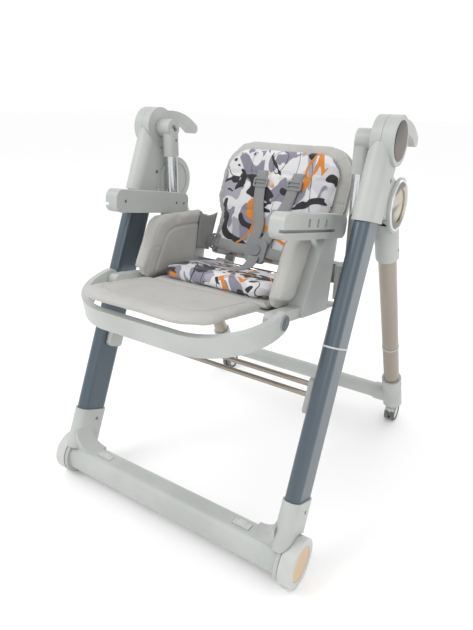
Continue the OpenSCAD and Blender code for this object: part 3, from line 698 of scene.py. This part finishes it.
# backrest
backPad = {
    "shrink": (3, 2.5, 3), "voxel": 5.5, "soften": 3, "pressure": 3.0, "cap": 5,
    "creases": [[(0, 268), (0, 300)], [(-52, 268), (-60, 300)], [(52, 268), (60, 300)],
                [(-112, 236), (-150, 268)], [(112, 236), (150, 268)], [(-144, 160), (-176, 162)],
                [(144, 160), (176, 162)], [(-128, 80), (-156, 80)], [(128, 80), (156, 80)]],
    "rim": [(143, 4), (143, 100), (160, 146), (160, 220), (153, 246), (138, 266), (116, 280), (92, 285)],
    "thread": {"pitch": 4.4, "length": 3.0, "thick": 0.35},
}
pad = makePad("backPadSoft", "back_pad", backFrame, "leatherette", backPad)
sewChannels(pad, backFrame, (0, 2), [
    {"path": crease, "depth": 1.6, "width": 2.2} for crease in backPad["creases"]], (1, -1))
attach(pad, "backrest")
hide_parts("back_pad")
rim = [(-x, z) for x, z in backPad["rim"]] + backPad["rim"][::-1]
row = onSurface(pad, backFrame, (0, 2), (1, -1), rim)
sewRows("backStitches", [row], "backrest", backPad["thread"])

backCushion = {
    "shrink": (3, 2.5, 3), "voxel": 5, "soften": 3, "pressure": 4.0, "cap": 7,
    "seams": [{"path": [(-76, 10), (-84, 140), (-76, 262)], "depth": 2.8, "width": 5},
              {"path": [(76, 10), (84, 140), (76, 262)], "depth": 2.8, "width": 5},
              {"path": [(-144, 196), (0, 206), (144, 196)], "depth": 2.4, "width": 5},
              {"path": [(-144, 112), (0, 120), (144, 112)], "depth": 2.2, "width": 5}],
}
pad = makePad("backCushionPad", "back_cushion", backFrame, "printed_fabric", backCushion)
sewChannels(pad, backFrame, (0, 2), backCushion["seams"], (1, -1))
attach(pad, "backrest")
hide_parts("back_cushion")
print("backrest padded")

# calf panel
calf = {
    "shrink": (2.5, 2.5, 2.6), "voxel": 5, "soften": 3, "pressure": 3.0, "cap": 4,
    "panel": (232, 150, 40, -182),  # width, depth, corner and where it starts
    "border": (280, 199, 58, -167), "borderStitch": (284, 201, 60, -167), "stitchIn": 4,
    "thread": {"pitch": 4.4, "length": 3.0, "thick": 0.35},
}


def frontPlan(width, depth, corner, start, steps=10):  # square at the back, rounded at the front
    path = [(width / 2, start)]
    for k, cx in enumerate((width / 2 - corner, corner - width / 2)):
        for i in range(steps + 1):
            a = math.radians(-90 * k - 90 / steps * i)
            path.append((cx + corner * math.cos(a), start - depth + corner + corner * math.sin(a)))
    return path + [(-width / 2, start)]


pad = makePad("calfPad", "calf_panel", seatFrame, "leatherette", calf)
panelSeam = frontPlan(*calf["panel"])
sewChannels(pad, seatFrame, (0, 1), [
    {"path": panelSeam, "depth": 1.8, "width": 2.4, "closed": True},
    {"path": frontPlan(*calf["border"]), "depth": 0.9, "width": 1.8}], (2, 1))
rows = [onSurface(pad, seatFrame, (0, 1), (2, 1), frontPlan(*calf["borderStitch"])),
        onSurface(pad, seatFrame, (0, 1), (2, 1), inset(panelSeam, calf["stitchIn"]), closed=True)]
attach(pad, "calf_rest")
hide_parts("calf_panel")
sewRows("calfStitches", rows, "calf_rest", calf["thread"])
print("calf panel sewn")

# gussets between the wings and the back
gusset = {
    "rows": 10, "columns": 12, "bulge": 7, "droop": 10, "thick": 1.2, "depth": 0.085, "height": 0.09,
    "wing": ((151, 12, -70), (151, 18, 14)),  # low and high corner, in the seat frame
    "back": ((150, 24, 14), (150, 24, 106)),  # the same, in the backrest frame
    "start": (151, 20, -10), "end": (146, 26, 70),
}


def along(ends, s, side, frameOf):
    x, y, z = (a + (b - a) * s for a, b in zip(*ends))
    return place(frameOf, side * x, y, z)


for side, label in ((-1, "Left"), (1, "Right")):
    verts, faces = [], []
    for i in range(gusset["rows"] + 1):
        t = i / gusset["rows"]
        for k in range(gusset["columns"] + 1):
            s = k / gusset["columns"]
            p = along(gusset["wing"], s, side, seatFrame).lerp(along(gusset["back"], s, side, backFrame), t)
            p.x += side * gusset["bulge"] * mm * math.sin(math.pi * t)
            p.z -= gusset["droop"] * mm * math.sin(math.pi * t) * s
            verts.append(p)
    wide = gusset["columns"] + 1
    for i in range(gusset["rows"]):
        for k in range(gusset["columns"]):
            here, there = i * wide + k, (i + 1) * wide + k
            quad = (here, here + 1, there + 1, there)
            faces.append(quad if side > 0 else quad[::-1])
    mesh = bpy.data.meshes.new("gusset" + label)
    mesh.from_pydata(verts, [], faces)
    mesh.update()
    cloth = newPiece("gusset" + label, mesh, gussetCloth)
    wall = cloth.modifiers.new("wall", "SOLIDIFY")
    wall.thickness = gusset["thick"] * mm
    settle(cloth)
    (startX, startY, startZ), (endX, endY, endZ) = gusset["start"], gusset["end"]
    place(seatFrame, side * startX, startY, startZ)
    place(backFrame, side * endX, endY, endZ)
    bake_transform(cloth)
print("gussets hung")

# bright rings round the fold pivots
pivotRing = {"radius": 45.5, "bead": 2.4, "sunk": 1.2, "steps": 72, "beadSteps": 10}
capLow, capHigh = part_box("pivot_caps")
ringY, ringZ = (capLow.y + capHigh.y) / 2, (capLow.z + capHigh.z) / 2
for side, label in ((-1, "Left"), (1, "Right")):
    faceX = side * (capHigh.x - pivotRing["sunk"] * mm)
    verts, faces = [], []
    steps, beadSteps = pivotRing["steps"], pivotRing["beadSteps"]
    for i in range(steps):
        a = 2 * math.pi * i / steps
        for j in range(beadSteps):
            b = 2 * math.pi * j / beadSteps
            r = (pivotRing["radius"] + pivotRing["bead"] * math.cos(b)) * mm
            x = faceX + pivotRing["bead"] * mm * math.sin(b)
            verts.append((x, ringY + r * math.cos(a), ringZ + r * math.sin(a)))
            here, there, k = i * beadSteps, (i + 1) % steps * beadSteps, (j + 1) % beadSteps
            faces.append((here + j, here + k, there + k, there + j))
    ring = newPiece("pivotRing" + label, solidMesh("pivotRing" + label, verts, faces), finishes["chrome"])
    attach(ring, "rear_frame")
print("pivot rings made")

# harness
shoulderStrap = {"width": 26, "thick": 1.9, "apart": 42, "aside": 8}  # they hang a little to one side
lapStrap = {
    "width": 24, "thick": 1.9, "across": (0, 0.15, 1),
    "path": [(141, -2, 30), (122, -7, 33), (88, -9, 30), (52, -10, 26), (21, -11, 29)],
}
crotchStrap = {
    "width": 26, "thick": 1.9,
    "path": [(0, -82, -99), (0, -72, -91), (0, -40, -89), (0, -8, -88), (0, 10, -80), (0, 20, -66)],
}
sideways = Vector((1, 0, 0))
for side, label in ((-1, "Left"), (1, "Right")):
    x = shoulderStrap["aside"] + side * shoulderStrap["apart"]
    path = [(x + side * 4, 3, 214), (x + side * 3, -5, 206), (x, -8, 180), (x - side * 8, -9, 130),
            (x - side * 22, -10, 84), (side * 14, -13, 48)]
    piece = ribbon("shoulderStrap" + label, [place(backFrame, *p) for p in path], sideways,
                   shoulderStrap, finishes["webbing"])
    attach(piece, "backrest")
    if side > 0:
        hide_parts("shoulder_straps")
    piece = ribbon("lapStrap" + label, [place(backFrame, side * x, y, z) for x, y, z in lapStrap["path"]],
                   backFrame.to_3x3() @ Vector(lapStrap["across"]), lapStrap, finishes["webbing"])
    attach(piece, "seat")
    if side > 0:
        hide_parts("waist_straps")
piece = ribbon("crotchStrap", [place(seatFrame, *p) for p in crotchStrap["path"]], sideways,
               crotchStrap, finishes["webbing"])
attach(piece, "seat")

# strap adjusters
slider = {
    "width": 36, "height": 22, "bar": 4.5, "thick": 3.4, "corner": 4, "holeCorner": 1.5,
    "cornerSteps": 4, "crossbar": 3.4, "crossbarLap": 3, "crossbarLift": 0.6, "edge": 0.7,
    "shoulder": (-7.5, 180), "lap": (116, -6.5, 33),
}


def adjuster(name, at, turn, body):
    hole = slider["width"] - 2 * slider["bar"], slider["height"] - 2 * slider["bar"]
    outer = roundedRect(slider["width"], slider["height"], slider["corner"], slider["cornerSteps"])
    inner = roundedRect(*hole, slider["holeCorner"], slider["cornerSteps"])
    thick = slider["thick"]
    work = bmesh.new()
    rings = []
    for path, z in ((outer, 0), (outer, thick), (inner, thick), (inner, 0)):
        rings.append([work.verts.new((x * mm, y * mm, z * mm)) for x, y in path])
    for k in range(4):
        a, b = rings[k], rings[(k + 1) % 4]
        for i in range(len(outer)):
            j = (i + 1) % len(outer)
            work.faces.new((a[i], a[j], b[j], b[i]))
    crossbar = bmesh.ops.create_cube(work, size=1)["verts"]
    size = (hole[0] + slider["crossbarLap"], slider["crossbar"], thick)
    bmesh.ops.scale(work, vec=[c * mm for c in size], verts=crossbar)
    bmesh.ops.translate(work, vec=(0, 0, thick * mm * slider["crossbarLift"]), verts=crossbar)
    bmesh.ops.recalc_face_normals(work, faces=work.faces)
    lay = backFrame @ Matrix.Translation([c * mm for c in at]) @ turn
    bmesh.ops.transform(work, matrix=lay, verts=work.verts)
    mesh = bpy.data.meshes.new(name)
    work.to_mesh(mesh)
    work.free()
    loop = newPiece(name, mesh, finishes["buckle_plastic"], False)
    soft = loop.modifiers.new("soft", "BEVEL")
    soft.width = slider["edge"] * mm
    soft.segments = 2
    settle(loop)
    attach(loop, body)
    return loop


upright = Matrix.Rotation(math.radians(90), 4, "X")
sidelong = upright @ Matrix.Rotation(math.radians(90), 4, "Z")
for side, label in ((-1, "Left"), (1, "Right")):
    x = shoulderStrap["aside"] + side * shoulderStrap["apart"]
    loop = adjuster("shoulderAdjuster" + label, (x, *slider["shoulder"]), upright, "backrest")
    if side > 0:
        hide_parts("strap_sliders")
    lapX, lapY, lapZ = slider["lap"]
    adjuster("lapAdjuster" + label, (side * lapX, lapY, lapZ), sidelong, "seat")
print("harness made")
